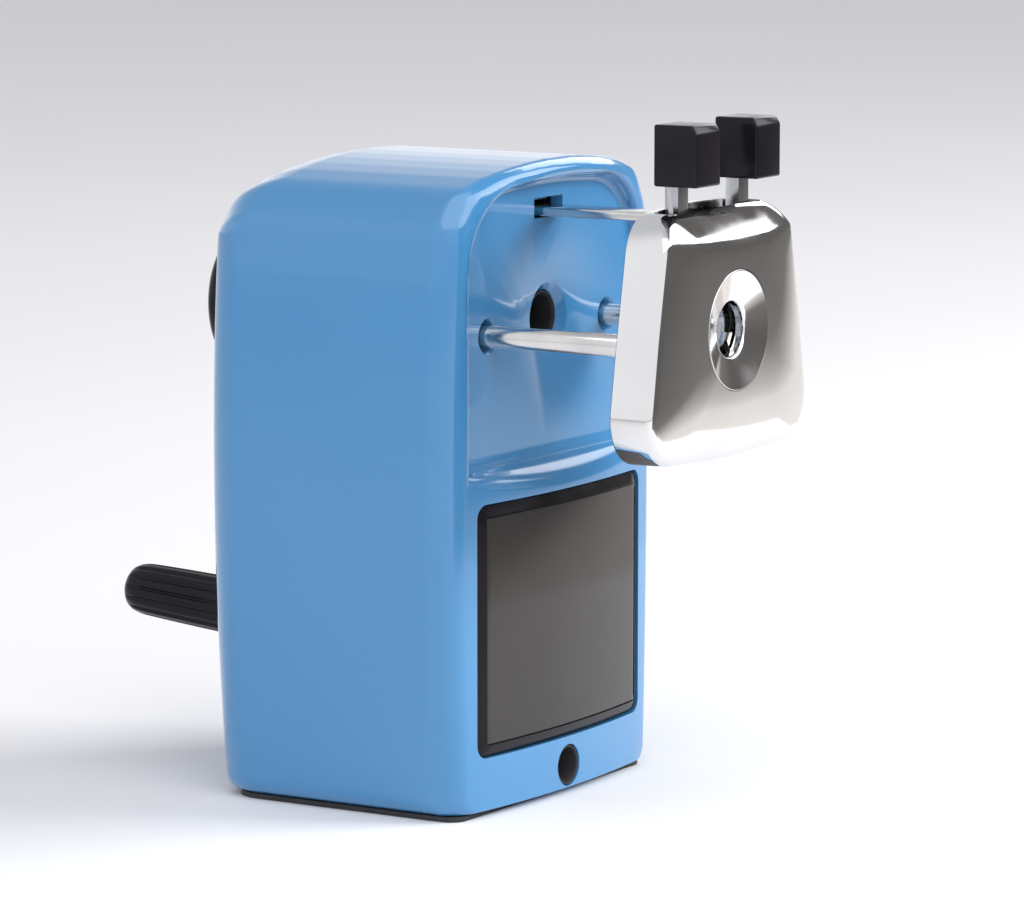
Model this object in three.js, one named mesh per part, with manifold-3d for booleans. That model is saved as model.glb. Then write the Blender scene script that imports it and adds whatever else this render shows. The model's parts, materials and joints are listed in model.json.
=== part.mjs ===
// Desktop crank pencil sharpener with a pull-out clamping head. Millimetres, +Z up, front towards -Y.
// The origin is the middle of the body's footprint, on the table.
import * as THREE from 'three';
import { mergeVertices } from 'three/addons/utils/BufferGeometryUtils.js';
import Module from 'manifold-3d';

const wasm = await Module();
wasm.setup();

// ---------- driving dimensions ----------
const WALL = 2.5;
const BODY = { bottom: 1, midZ: 62, top: 118, frontY: -30, cornerY: -27.5, rearY: 27.5 };
const BODY_HALF = { base: 35, mid: 37, top: 35.2 };
const AXIS_Z = 88.5;
const RECESS = { floorY: -25.5, half: 30, top: 114.3, ledgeBack: 64, ledgeFront: 59.5 };
const DRAWER = { half: 28.4, bottom: 11.3, top: 57, gap: 0.3, trayHalf: 25.8, trayTop: 50, trayRear: 16 };
const CLAMP = { z: 5.6, bore: 3.1, outer: 4, rear: -9.5 };
const ROD = { x: 21, z: 87, radius: 2, front: -59, rear: -10.5 };
const LATCH = { z: 108.1, half: 3.5, thick: 1.6 };
const GUIDE = { bore: 4.15, outer: 4.75, mouth: 6.3, front: -24.1, rear: -11 };
const HEAD = { frontY: -65.5, edgeY: -63.6, backY: -55.2, plate: 1.5, wall: 1.8 };
const ENTRY = { radius: 10.9, hole: 5, backY: -61.9 };
const LEVER = { x: 11, ringOuter: 11.5, ringInner: 6.5, capBottom: 115, capTop: 126 };
const JAW = { tip: 3.4, outer: 10.6, width: 3.4, front: -61.5, back: -59.7 };
const GEAR = { module: 0.775, ringTeeth: 40, pinionTeeth: 12, tilt: THREE.MathUtils.degToRad(10) };
const PINION_Y = -17;
const PINION_OFFSET = (GEAR.module * (GEAR.ringTeeth - GEAR.pinionTeeth)) / 2;
const CUTTER = { radius: 5.1, front: -9, rear: 15, flutes: 12, twist: 1.6 };
const CRANK = { hubRadius: 15, hubFront: 28.3, hubRear: 40.6, length: 60, shaft: 4, shaftEnd: 36.4 };
const KNOB = { front: 42.2, length: 26.21, radius: 5.4, tilt: THREE.MathUtils.degToRad(4.5) };

// ---------- colours: hex, metalness, roughness ----------
const COLOURS = {
  blue: [0x6aa9de, 0.0, 0.25],
  black: [0x16161a, 0.0, 0.3],
  rubber: [0x1c1c1e, 0.0, 0.9],
  smoke: [0x4a4746, 0.0, 0.2],
  chrome: [0xe4e4e8, 1.0, 0.08],
  steel: [0xb9bcc0, 0.9, 0.35],
  brass: [0xc2a15a, 0.9, 0.35],
};

function material(colour) {
  const [hex, metalness, roughness] = COLOURS[colour];
  return new THREE.MeshStandardMaterial({ color: hex, metalness, roughness });
}

// ---------- solids ----------
function solid(geometry) {
  const bare = geometry.clone();
  bare.deleteAttribute('normal');
  bare.deleteAttribute('uv');
  const merged = mergeVertices(bare, 1e-4);
  return new wasm.Manifold(
    new wasm.Mesh({
      numProp: 3,
      vertProperties: Float32Array.from(merged.attributes.position.array),
      triVerts: Uint32Array.from(merged.index.array),
    }),
  );
}

// A loft or lathe whose faces point inwards is turned inside out before it is used.
function outward(geometry) {
  const first = solid(geometry);
  if (first.volume() > 0) return first;
  const index = Array.from(geometry.index.array);
  for (let i = 0; i < index.length; i += 3) [index[i], index[i + 1]] = [index[i + 1], index[i]];
  geometry.setIndex(index);
  return solid(geometry);
}

function geometryOf(manifold) {
  const mesh = manifold.getMesh();
  const geometry = new THREE.BufferGeometry();
  const points = new Float32Array(mesh.numVert * 3);
  for (let i = 0; i < mesh.numVert; i += 1) {
    for (let k = 0; k < 3; k += 1) points[3 * i + k] = mesh.vertProperties[i * mesh.numProp + k];
  }
  geometry.setAttribute('position', new THREE.BufferAttribute(points, 3));
  geometry.setIndex(new THREE.BufferAttribute(Uint32Array.from(mesh.triVerts), 1));
  geometry.computeVertexNormals();
  return geometry;
}

function union(first, ...others) {
  return others.reduce((sum, other) => sum.add(other), first);
}

function cut(first, ...others) {
  return others.reduce((rest, other) => rest.subtract(other), first);
}

function box(x0, x1, y0, y1, z0, z1) {
  const geometry = new THREE.BoxGeometry(x1 - x0, y1 - y0, z1 - z0);
  geometry.translate((x0 + x1) / 2, (y0 + y1) / 2, (z0 + z1) / 2);
  return solid(geometry);
}

function coneY(frontRadius, rearRadius, y0, y1, x = 0, z = 0, segments = 24) {
  const geometry = new THREE.CylinderGeometry(rearRadius, frontRadius, y1 - y0, segments);
  geometry.translate(x, (y0 + y1) / 2, z);
  return solid(geometry);
}

function rodY(radius, y0, y1, x = 0, z = 0, segments = 24) {
  return coneY(radius, radius, y0, y1, x, z, segments);
}

function tubeY(outer, inner, y0, y1, x = 0, z = 0, segments = 24) {
  return cut(rodY(outer, y0, y1, x, z, segments), rodY(inner, y0 - 1, y1 + 1, x, z, segments));
}

function rodZ(radius, z0, z1, x, y, segments = 12) {
  const geometry = new THREE.CylinderGeometry(radius, radius, z1 - z0, segments);
  geometry.rotateX(Math.PI / 2);
  geometry.translate(x, y, (z0 + z1) / 2);
  return solid(geometry);
}

function extrude(points, depth) {
  const shape = new THREE.Shape(points.map(([a, b]) => new THREE.Vector2(a, b)));
  return new THREE.ExtrudeGeometry(shape, { depth, bevelEnabled: false, curveSegments: 1 });
}

// Outline given in X and Z, running from y0 to y1.
function prismY(points, y0, y1) {
  const geometry = extrude(points, y1 - y0);
  geometry.rotateX(Math.PI / 2);
  geometry.translate(0, y1, 0);
  return solid(geometry);
}

// Outline given in X and Y, running from z0 to z1.
function prismZ(points, z0, z1) {
  const geometry = extrude(points, z1 - z0);
  geometry.translate(0, 0, z0);
  return solid(geometry);
}

// Outline given in Y and Z, running from x0 to x1.
function prismX(points, x0, x1) {
  const geometry = extrude(points, x1 - x0);
  const turn = new THREE.Matrix4().makeBasis(
    new THREE.Vector3(0, 1, 0),
    new THREE.Vector3(0, 0, 1),
    new THREE.Vector3(1, 0, 0),
  );
  geometry.applyMatrix4(turn);
  geometry.translate(x0, 0, 0);
  return solid(geometry);
}

// Corners are [a, b, radius]; each one is rounded with an arc of the given number of steps.
function rounded(corners, steps = 4) {
  const points = [];
  corners.forEach(([a, b, radius], i) => {
    const corner = new THREE.Vector2(a, b);
    if (!radius) {
      points.push([a, b]);
      return;
    }
    const before = corners[(i + corners.length - 1) % corners.length];
    const after = corners[(i + 1) % corners.length];
    const back = new THREE.Vector2(before[0], before[1]).sub(corner).normalize();
    const ahead = new THREE.Vector2(after[0], after[1]).sub(corner).normalize();
    const half = Math.acos(THREE.MathUtils.clamp(back.dot(ahead), -1, 1)) / 2;
    const middle = back.clone().add(ahead).normalize();
    const centre = corner.clone().addScaledVector(middle, radius / Math.sin(half));
    const start = corner.clone().addScaledVector(back, radius / Math.tan(half)).sub(centre);
    const end = corner.clone().addScaledVector(ahead, radius / Math.tan(half)).sub(centre);
    const sweep = Math.atan2(start.cross(end), start.dot(end));
    for (let k = 0; k <= steps; k += 1) {
      const angle = start.angle() + (sweep * k) / steps;
      points.push([centre.x + radius * Math.cos(angle), centre.y + radius * Math.sin(angle)]);
    }
  });
  return points;
}

// Rings of [x, y, z] points, each with the same count, joined into one closed solid.
function loft(rings, closed = false) {
  const count = rings[0].length;
  const points = rings.flat();
  const triangles = [];
  const joins = closed ? rings.length : rings.length - 1;
  for (let r = 0; r < joins; r += 1) {
    for (let i = 0; i < count; i += 1) {
      const next = (i + 1) % count;
      const above = ((r + 1) % rings.length) * count;
      triangles.push([r * count + i, r * count + next, above + next]);
      triangles.push([r * count + i, above + next, above + i]);
    }
  }
  if (!closed) {
    [0, rings.length - 1].forEach((r) => {
      const centre = points.length;
      const sum = rings[r].reduce((s, p) => s.map((v, k) => v + p[k] / count), [0, 0, 0]);
      points.push(sum);
      for (let i = 0; i < count; i += 1) {
        const a = r * count + i;
        const b = r * count + ((i + 1) % count);
        triangles.push(r === 0 ? [centre, b, a] : [centre, a, b]);
      }
    });
  }
  const geometry = new THREE.BufferGeometry();
  geometry.setAttribute('position', new THREE.Float32BufferAttribute(points.flat(), 3));
  geometry.setIndex(triangles.flat());
  return outward(geometry);
}

function turned(manifold, degreesX = 0, degreesY = 0, degreesZ = 0, pivot = [0, 0, 0]) {
  return manifold
    .translate([-pivot[0], -pivot[1], -pivot[2]])
    .rotate([degreesX, degreesY, degreesZ])
    .translate(pivot);
}

function mirrored(points) {
  return points.map(([a, b]) => [-a, b]).reverse();
}

function roundScrewY(x, z, headY, headDirection, tipY, shank = 1.3, head = 2.5, thick = 1.2) {
  const headSpan = [headY, headY + headDirection * thick].sort((a, b) => a - b);
  const shankSpan = [headY, tipY].sort((a, b) => a - b);
  const slotY = headY + headDirection * thick;
  return cut(
    union(rodY(head, headSpan[0], headSpan[1], x, z, 12), rodY(shank, shankSpan[0], shankSpan[1], x, z, 8)),
    box(x - 1.7, x + 1.7, slotY - 0.6, slotY + 0.6, z - 0.3, z + 0.3),
    box(x - 0.3, x + 0.3, slotY - 0.6, slotY + 0.6, z - 1.7, z + 1.7),
  );
}

// ---------- housing ----------
function bodyHalfWidth(z) {
  const span = z < BODY.midZ ? BODY.midZ : 108 - BODY.midZ;
  const loss = BODY_HALF.mid - (z < BODY.midZ ? BODY_HALF.base : BODY_HALF.top);
  return BODY_HALF.mid - loss * ((z - BODY.midZ) / span) ** 2;
}

function bodyRear(z) {
  const loss = z < BODY.midZ ? 1.4 * ((BODY.midZ - z) / 61) ** 2 : 0.3 * ((z - BODY.midZ) / 45) ** 2;
  return BODY.rearY - loss;
}

function bowedFront(x, proud = 0) {
  const bow = BODY.cornerY - BODY.frontY;
  return BODY.frontY - proud + bow * (x / 32) ** 2;
}

function bodyRing(z, inset, flatFront) {
  const half = bodyHalfWidth(z) - inset;
  const rear = bodyRear(z) - inset * 1.6;
  const frontRadius = Math.max(4.7 - inset, 1.5);
  const rearRadius = Math.max(8 - inset, 3);
  const edge = half - frontRadius;
  const front = [];
  for (let k = 0; k <= 6; k += 1) {
    const x = -edge + (2 * edge * k) / 6;
    front.push([x, flatFront ?? bowedFront(x)]);
  }
  const corner = (x, y, radius, from, to, steps) =>
    Array.from({ length: steps }, (_, k) => {
      const angle = THREE.MathUtils.degToRad(from + ((to - from) * (k + 1)) / (steps + (to === 0 ? 0 : 1)));
      return [x + radius * Math.cos(angle), y + radius * Math.sin(angle)];
    });
  const frontY = front[0][1] + frontRadius;
  const right = corner(edge, frontY, frontRadius, -90, 0, 3);
  const rearRight = [];
  for (let k = 0; k <= 4; k += 1) {
    const angle = (Math.PI / 2) * (k / 4);
    const reach = [rearRadius * (1 - Math.cos(angle)), rearRadius * (1 - Math.sin(angle))];
    rearRight.push([half - reach[0], rear - reach[1]]);
  }
  const side = [...right, ...rearRight];
  return [...front, ...side, ...mirrored(side)].map(([x, y]) => [x, y, z]);
}

function frontOutline(inset) {
  const crown = Array.from({ length: 9 }, (_, k) => {
    const x = 30 - (60 * k) / 8;
    return [x * (1 - inset / 60), BODY.top - inset - 3.6 * (x / 30) ** 2];
  });
  const shoulder = 35.3 - inset;
  return [[-60, -20], [60, -20], [60, 107 - inset], [shoulder, 107.2 - inset], ...crown]
    .concat([[-shoulder, 107.2 - inset], [-60, 107 - inset]]);
}

function sideOutline(inset) {
  const slope = inset * 0.85;
  const rear = [[40, -20], [40, 102 - slope], [27.5 - inset, 109 - slope], [11.5 - inset / 2, 118 - inset]];
  return [[-60, -20], ...rear, [6, 119 - inset], [-60, 119 - inset]];
}

function bodySolid(inset, flatFront, bottom) {
  const levels = [bottom, 22, 42, 62, 78, 94, 108, 118.5];
  const rings = levels.map((z) => bodyRing(z, inset, flatFront));
  return loft(rings)
    .intersect(prismY(frontOutline(inset), -60, 60))
    .intersect(prismX(sideOutline(inset), -60, 60));
}

function recessCutter() {
  const ledge = RECESS.ledgeFront - (RECESS.ledgeBack - RECESS.ledgeFront) * 2;
  const arch = rounded(
    [
      [-RECESS.half, 40, 0],
      [RECESS.half, 40, 0],
      [RECESS.half, RECESS.top - 1.2, 15],
      [0, RECESS.top + 0.6, 150],
      [-RECESS.half, RECESS.top - 1.2, 15],
    ],
    6,
  );
  const { floorY, ledgeBack } = RECESS;
  const slope = [[floorY, ledgeBack], [floorY, 130], [-43.5, 130], [-43.5, ledge - 4.5]];
  return prismY(arch, -60, RECESS.floorY).intersect(prismX(slope.reverse(), -60, 60));
}

const SHELF = { bottom: 9.9, top: 10.9 };
const BASE_SCREWS = [[-29.5, -18.5], [29.5, -18.5], [-29.5, 17], [29.5, 17]];
const COVER = { half: 27, bottom: 44, top: 105, front: 25.6, rear: 27 };
const COVER_SCREWS = [[-23, 49.5], [23, 49.5], [-23, 99], [23, 99]];

function housingShell() {
  const inner = bodySolid(WALL, -23, -5);
  const opening = DRAWER.half + DRAWER.gap;
  const shell = cut(bodySolid(0, undefined, BODY.bottom), inner);
  const shelf = box(-36, 36, -24, 24, SHELF.bottom, SHELF.top).intersect(bodySolid(WALL - 0.6, -23.5, -5));
  const bosses = BASE_SCREWS.map(([x, y]) => rodZ(3.4, 3.4, SHELF.top - 0.3, x, y));
  const ribs = [-1, 1].map((s) =>
    box(Math.min(s * 28.5, s * 36), Math.max(s * 28.5, s * 36), -20, 20, 51, 53.3)
      .intersect(bodySolid(WALL - 0.6, -23.5, -5)),
  );
  const coverBosses = COVER_SCREWS.map(([x, z]) => rodY(3.2, 18, 26, x, z, 12));
  const whole = union(shell, shelf, ...bosses, ...ribs, ...coverBosses);
  return cut(
    whole,
    recessCutter(),
    box(-opening, opening, -40, -22, DRAWER.bottom - DRAWER.gap, DRAWER.top + DRAWER.gap),
    rodY(CLAMP.bore, -40, -26.9, 0, CLAMP.z),
    rodY(CLAMP.outer + 0.1, -27, -20, 0, CLAMP.z),
    rodY(GUIDE.outer + 0.2, -40, -20, 0, AXIS_Z),
    coneY(GUIDE.mouth, GUIDE.outer + 0.2, RECESS.floorY, GUIDE.front, 0, AXIS_Z),
    ...[-1, 1].map((s) => rodY(2.8, -40, -20, s * ROD.x, ROD.z, 16)),
    box(-5, 5, -40, -20, LATCH.z - 1.9, LATCH.z + 1.9),
    box(-COVER.half - 0.2, COVER.half + 0.2, COVER.front, 40, COVER.bottom - 0.2, COVER.top + 0.2),
    box(-19, 19, 20, 40, 55, 103),
    ...BASE_SCREWS.map(([x, y]) => rodZ(1.45, 0, 9.4, x, y, 12)),
    ...COVER_SCREWS.map(([x, z]) => rodY(1.45, 19, 40, x, z, 12)),
  );
}

function rearCover() {
  const plate = prismY(
    rounded([[-COVER.half, COVER.bottom, 2], [COVER.half, COVER.bottom, 2], [COVER.half, COVER.top, 2]]
      .concat([[-COVER.half, COVER.top, 2]])),
    COVER.front,
    COVER.rear,
  );
  return cut(
    plate,
    rodY(6.3, 20, 40, 0, AXIS_Z),
    ...COVER_SCREWS.map(([x, z]) => rodY(1.5, 20, 40, x, z, 12)),
  );
}

function basePlate() {
  const plate = bodySolid(WALL + 0.3, -22.7, BODY.bottom).intersect(box(-60, 60, -60, 60, 0, 3.2));
  return cut(
    plate,
    box(-CLAMP.outer - 0.5, CLAMP.outer + 0.5, -30, CLAMP.rear + 0.5, 0, 5),
    ...BASE_SCREWS.map(([x, y]) => rodZ(1.5, -1, 9, x, y, 12)),
  );
}

function basePad() {
  const pad = bodySolid(1.6, BODY.frontY + 3.2, -2).intersect(box(-60, 60, -60, 60, 0, BODY.bottom));
  return cut(pad, ...BASE_SCREWS.map(([x, y]) => rodZ(3.1, -1, 3, x, y)));
}

function baseScrew(x, y) {
  const screw = union(rodZ(2.6, 0.2, BODY.bottom, x, y), rodZ(1.3, BODY.bottom, 9, x, y, 8));
  return cut(
    screw,
    box(x - 1.8, x + 1.8, y - 0.3, y + 0.3, 0, 0.6),
    box(x - 0.3, x + 0.3, y - 1.8, y + 1.8, 0, 0.6),
  );
}

const FRAME = { front: -22.5, wall: 2, floor: 53.3, rear: 20.5 };

function mechanismFrame() {
  const bottom = FRAME.floor;
  const right = [[31, bottom], [31, 59], [27, 66], [27, 99], [18, 111.4]];
  const front = prismY([...right, ...mirrored(right)], FRAME.front, FRAME.front + FRAME.wall);
  const rearRight = [[15, bottom], [15, 96], [9, 103]];
  const rear = prismY([...rearRight, ...mirrored(rearRight)], FRAME.rear, FRAME.rear + FRAME.wall);
  const floor = box(-31, 31, FRAME.front, FRAME.rear + FRAME.wall, bottom, bottom + FRAME.wall);
  return cut(
    union(front, floor, rear),
    box(-17, 17, -12, 17, bottom - 5, bottom + 5),
    rodY(GUIDE.outer + 0.2, -40, 0, 0, AXIS_Z),
    rodY(6.15, 18, 40, 0, AXIS_Z),
    ...[-1, 1].map((s) => rodY(2.85, -40, 0, s * ROD.x, ROD.z, 16)),
    box(-5, 5, -40, 0, LATCH.z - 1.7, LATCH.z + 1.7),
  );
}

// One trapezoid tooth per step round a circle; roots and tips are radii, widths are shares of the pitch.
function gearOutline(teeth, rootRadius, tipRadius, rootShare, tipShare, phase = 0) {
  const points = [];
  const pitch = (2 * Math.PI) / teeth;
  for (let i = 0; i < teeth; i += 1) {
    [[-rootShare, rootRadius], [-tipShare, tipRadius], [tipShare, tipRadius], [rootShare, rootRadius]]
      .forEach(([share, radius]) => {
        const angle = phase + pitch * (i + share / 2);
        points.push([radius * Math.cos(angle), radius * Math.sin(angle)]);
      });
  }
  return points;
}

function ringGear() {
  const pitchRadius = (GEAR.module * GEAR.ringTeeth) / 2;
  const [root, tip] = [pitchRadius + 1.15, pitchRadius - 0.72];
  const holes = gearOutline(GEAR.ringTeeth, root, tip, 0.56, 0.22, -Math.PI / 2);
  const blank = rodY(18.2, -20.5, -14.4, 0, AXIS_Z, 48);
  return cut(blank, prismY(holes.map(([a, b]) => [a, b + AXIS_Z]), -21, -14));
}

// The pinion and cutter are drawn on the Y axis at the origin, then tilted into place below the pencil.
function placedOnCutterAxis(manifold) {
  return turned(manifold, THREE.MathUtils.radToDeg(GEAR.tilt))
    .translate([0, PINION_Y, AXIS_Z - PINION_OFFSET]);
}

function pinionGear() {
  const pitchRadius = (GEAR.module * GEAR.pinionTeeth) / 2;
  const pitch = Math.PI / GEAR.pinionTeeth;
  const [root, tip] = [pitchRadius - 1.05, pitchRadius + 0.66];
  const outline = gearOutline(GEAR.pinionTeeth, root, tip, 0.58, 0.22, pitch - Math.PI / 2);
  return placedOnCutterAxis(cut(prismY(outline, -1.9, 1.9), rodY(1.6, -3, 3)));
}

function helicalCutter() {
  const rings = [];
  const steps = 8;
  const first = CUTTER.front - PINION_Y;
  const last = CUTTER.rear - PINION_Y;
  for (let k = 0; k <= steps; k += 1) {
    const y = last + ((first - last) * k) / steps;
    const ring = [];
    for (let i = 0; i < CUTTER.flutes; i += 1) {
      [[0, CUTTER.radius], [0.5, CUTTER.radius - 0.9]].forEach(([share, radius]) => {
        const angle = ((i + share) * 2 * Math.PI) / CUTTER.flutes + (CUTTER.twist * k) / steps;
        ring.push([radius * Math.cos(angle), y, radius * Math.sin(angle)]);
      });
    }
    rings.push(ring);
  }
  return placedOnCutterAxis(cut(loft(rings), rodY(1.6, first - 2, last + 2)));
}

function cutterAxle() {
  return placedOnCutterAxis(rodY(1.3, -2.6, 35.2, 0, 0, 16));
}

function pencilGuide() {
  return cut(
    rodY(GUIDE.outer, GUIDE.front, GUIDE.rear, 0, AXIS_Z),
    rodY(GUIDE.bore, -40, 0, 0, AXIS_Z),
    coneY(GUIDE.bore + 0.4, GUIDE.bore, GUIDE.front - 0.01, GUIDE.front + 0.8, 0, AXIS_Z),
  );
}

function rearBush() {
  const flange = rodY(8, FRAME.rear + FRAME.wall, 24.2, 0, AXIS_Z);
  const sleeve = rodY(6, FRAME.rear, 27.4, 0, AXIS_Z);
  return cut(union(flange, sleeve), rodY(CRANK.shaft + 0.15, 10, 40, 0, AXIS_Z));
}

function rodBush(side) {
  return tubeY(2.75, ROD.radius + 0.12, -22.9, -14.6, side * ROD.x, ROD.z, 16);
}

function latchSpring() {
  const lower = [[-20.4, 110.8], [-18, 110.8], [-10, 110.2], [-8, 110.9]];
  const upper = [[-8, 111.3], [-10, 110.6], [-18, 111.3], [-20.4, 111.3]];
  const strip = [...lower, ...upper];
  return prismX(strip, -2.5, 2.5);
}

function clampSocket() {
  const tube = rodY(CLAMP.outer, -26.9, CLAMP.rear, 0, CLAMP.z);
  return cut(tube, rodY(CLAMP.bore, -30, CLAMP.rear - 1.2, 0, CLAMP.z));
}

function drawerCatch() {
  const strip = [[-14, 53.2], [-14, 52.6], [-10, 51.4], [-8.6, 51.4], [-5, 52.4], [10, 52.4], [10, 53.2]];
  return prismX(strip, 20, 24);
}

// ---------- drawer ----------
function drawerFront() {
  const { half, bottom, top } = DRAWER;
  const bow = Array.from({ length: 9 }, (_, k) => {
    const x = -half + (2 * half * k) / 8;
    return [x, bowedFront(x, 0.3)];
  });
  const slab = prismZ([...bow, [half, -26.4], [-half, -26.4]], bottom, top);
  const corners = [[-half, bottom, 2.4], [half, bottom, 2.4], [half, top, 2.4], [-half, top, 2.4]];
  const soften = prismY(rounded(corners), -40, 0);
  const pocket = box(-half + 2.4, half - 2.4, -40, -28.4 + 1.6, bottom + 2.4, top - 2.4);
  return cut(slab.intersect(soften), pocket.intersect(box(-60, 60, -40, -27, 0, 100)));
}

function drawerWindow() {
  const half = DRAWER.half - 2.5;
  const bow = Array.from({ length: 9 }, (_, k) => {
    const x = -half + (2 * half * k) / 8;
    return [x, bowedFront(x, 0.1)];
  });
  return prismZ([...bow, [half, -27], [-half, -27]], DRAWER.bottom + 2.5, DRAWER.top - 2.5);
}

function drawerTray() {
  const { trayHalf: half, trayTop: top, trayRear: rear } = DRAWER;
  const bottom = DRAWER.bottom;
  return cut(
    box(-half, half, -26.2, rear, bottom, top),
    box(-half + 1.6, half - 1.6, -24.8, rear - 1.6, bottom + 1.6, top + 5),
  );
}

// ---------- head ----------
function headOutline(inset) {
  const grow = -inset;
  return rounded(
    [
      [-30 - grow, 66.4 - grow, 8.5 - inset],
      [0, 65 - grow, 150],
      [30 + grow, 66.4 - grow, 8.5 - inset],
      [26.5 + grow, 88, 120],
      [22.3 + grow, 110 + grow, 8 - inset],
      [0, 111.7 + grow, 150],
      [-22.3 - grow, 110 + grow, 8 - inset],
      [-26.5 - grow, 88, 120],
    ],
    4,
  );
}

// The front of the head: a shallow dome, with a band at the top that falls away and a rounded edge.
function headFrontY(x, z, share) {
  const dome = (HEAD.edgeY - HEAD.frontY) * 0.55 * ((x / 27) ** 2 + ((z - AXIS_Z) / 24) ** 2);
  const band = Math.max(z - 102.5, 0) * 0.24;
  const edge = share > 0.9 ? 1.3 * ((share - 0.9) / 0.1) ** 2 : 0;
  return HEAD.frontY + dome + band + edge;
}

function headSolid() {
  const outline = headOutline(0);
  const shares = [0.3, 0.55, 0.75, 0.9, 0.96, 1];
  const rings = shares.map((share) =>
    outline.map(([x, z]) => {
      const px = x * share;
      const pz = AXIS_Z + (z - AXIS_Z) * share;
      return [px, headFrontY(px, pz, share), pz];
    }),
  );
  rings.push(outline.map(([x, z]) => [x, HEAD.backY, z]));
  return loft(rings);
}

const HEAD_SCREWS = [[-17, 73.5], [17, 73.5]];

function headShell() {
  const cavity = prismY(headOutline(HEAD.wall), -61.7, HEAD.backY + 1);
  const bosses = HEAD_SCREWS.map(([x, z]) => rodY(3, -62, HEAD.backY - HEAD.plate - 0.2, x, z, 12));
  return cut(
    union(cut(headSolid(), cavity), ...bosses),
    rodY(ENTRY.radius + 0.1, -70, -60, 0, AXIS_Z),
    box(-17, 17, -60.6, -57, 105, 115),
    ...HEAD_SCREWS.map(([x, z]) => rodY(1.25, -60.6, -50, x, z, 12)),
  );
}

function entryRing() {
  const { radius: edge, hole, backY } = ENTRY;
  const dish = [[hole, backY], [hole, -63.7], [9.8, -65.3], [10.4, -65.5], [10.7, -65.3]];
  const profile = [...dish, [edge, -64.9], [edge, backY]]
    .map(([radius, y]) => new THREE.Vector2(radius, y));
  profile.push(profile[0].clone());
  return outward(new THREE.LatheGeometry(profile, 32)).translate([0, 0, AXIS_Z]);
}

function headBackPlate() {
  const plate = prismY(headOutline(HEAD.wall + 0.1), HEAD.backY - HEAD.plate, HEAD.backY);
  return cut(
    plate,
    rodY(6.15, -60, -50, 0, AXIS_Z),
    ...[-1, 1].map((s) => rodY(ROD.radius, -60, -50, s * ROD.x, ROD.z, 16)),
    ...HEAD_SCREWS.map(([x, z]) => rodY(1.5, -60, -50, x, z, 12)),
    box(-LATCH.half, LATCH.half, -60, -50, LATCH.z - LATCH.thick / 2, LATCH.z + LATCH.thick / 2),
  );
}

function guideRod(side) {
  const rod = rodY(ROD.radius, ROD.front, ROD.rear, side * ROD.x, ROD.z, 16);
  return cut(rod, tubeY(4, ROD.radius - 0.4, -12.6, -11.4, side * ROD.x, ROD.z, 16));
}

function rodStop(side) {
  return tubeY(3.2, ROD.radius - 0.4, -12.5, -11.5, side * ROD.x, ROD.z, 16);
}

function latchBar() {
  const { half, thick, z } = LATCH;
  const front = HEAD.backY - HEAD.plate;
  const outline = rounded([[-half, front, 0], [half, front, 0], [half, -19, 2.2], [-half, -19, 2.2]]);
  return prismZ(outline, z - thick / 2, z + thick / 2);
}

function leverPlate(side, ringFront, ringBack) {
  const ring = tubeY(LEVER.ringOuter, LEVER.ringInner, ringFront, ringBack, 0, AXIS_Z);
  const web = [[-11.4, 90], [-5, 98], [-9, 105], [-9, 107], [-13, 107], [-13, 102]];
  const arm = [[-9.2, 105], [-9.2, 122.5], [-12.8, 122.5], [-12.8, 105]];
  const place = (points) => (side < 0 ? points : mirrored(points));
  const low = union(
    cut(prismY(place(web), ringFront, ringBack), rodY(LEVER.ringInner + 1, -70, -50, 0, AXIS_Z)),
    prismY(place(arm), -60, -57.3),
  );
  return union(ring, low);
}

function leverCap(side) {
  const { capBottom: bottom, capTop: top } = LEVER;
  const x0 = side * LEVER.x - 4.5;
  const x1 = side * LEVER.x + 4.5;
  const block = prismX(
    [[-65.2, bottom], [-56.4, bottom], [-56.4, top - 0.6], [-57, top], [-64, top], [-65.2, top - 1.4]],
    x0,
    x1,
  );
  const soften = prismY(
    rounded([[x0, bottom, 0.5], [x1, bottom, 0.5], [x1, top, 0.8], [x0, top, 0.8]], 3),
    -80,
    -40,
  );
  const socket = box(side * LEVER.x - 1.8, side * LEVER.x + 1.8, -60, -57.3, bottom - 1, 122.5);
  return cut(block.intersect(soften), socket);
}

function leverSpring() {
  const turns = 5;
  const half = 8.4;
  const path = new THREE.CatmullRomCurve3(
    Array.from({ length: turns * 6 + 1 }, (_, k) => {
      const angle = (k / 6) * 2 * Math.PI;
      return new THREE.Vector3(
        -half + (2 * half * k) / (turns * 6),
        -58.4 + 1.1 * Math.cos(angle),
        104.6 + 1.1 * Math.sin(angle),
      );
    }),
  );
  const wire = new THREE.Shape(
    [0, 1, 2, 3, 4].map((k) =>
      new THREE.Vector2(0.28 * Math.cos((k * Math.PI) / 2.5), 0.28 * Math.sin((k * Math.PI) / 2.5))),
  );
  const sweep = { steps: turns * 6, extrudePath: path, bevelEnabled: false };
  return solid(new THREE.ExtrudeGeometry(wire, sweep));
}

function pivotSleeve() {
  return tubeY(6.1, 5.3, -59.4, HEAD.backY - 0.3, 0, AXIS_Z);
}

function jaw(index) {
  const { tip, outer, width, front, back } = JAW;
  const half = width / 2;
  const slant = tip + 1.6;
  const outline = [[tip, -0.5], [slant, -half], [outer, -half], [outer, half], [slant, half], [tip, 0.5]];
  const angle = 90 + 120 * index;
  return turned(prismY(outline, front, back), 0, -angle, 0).translate([0, 0, AXIS_Z]);
}

function headScrew(x, z) {
  return roundScrewY(x, z, HEAD.backY, 1, -60, 1.2, 2.3, 1);
}

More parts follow.
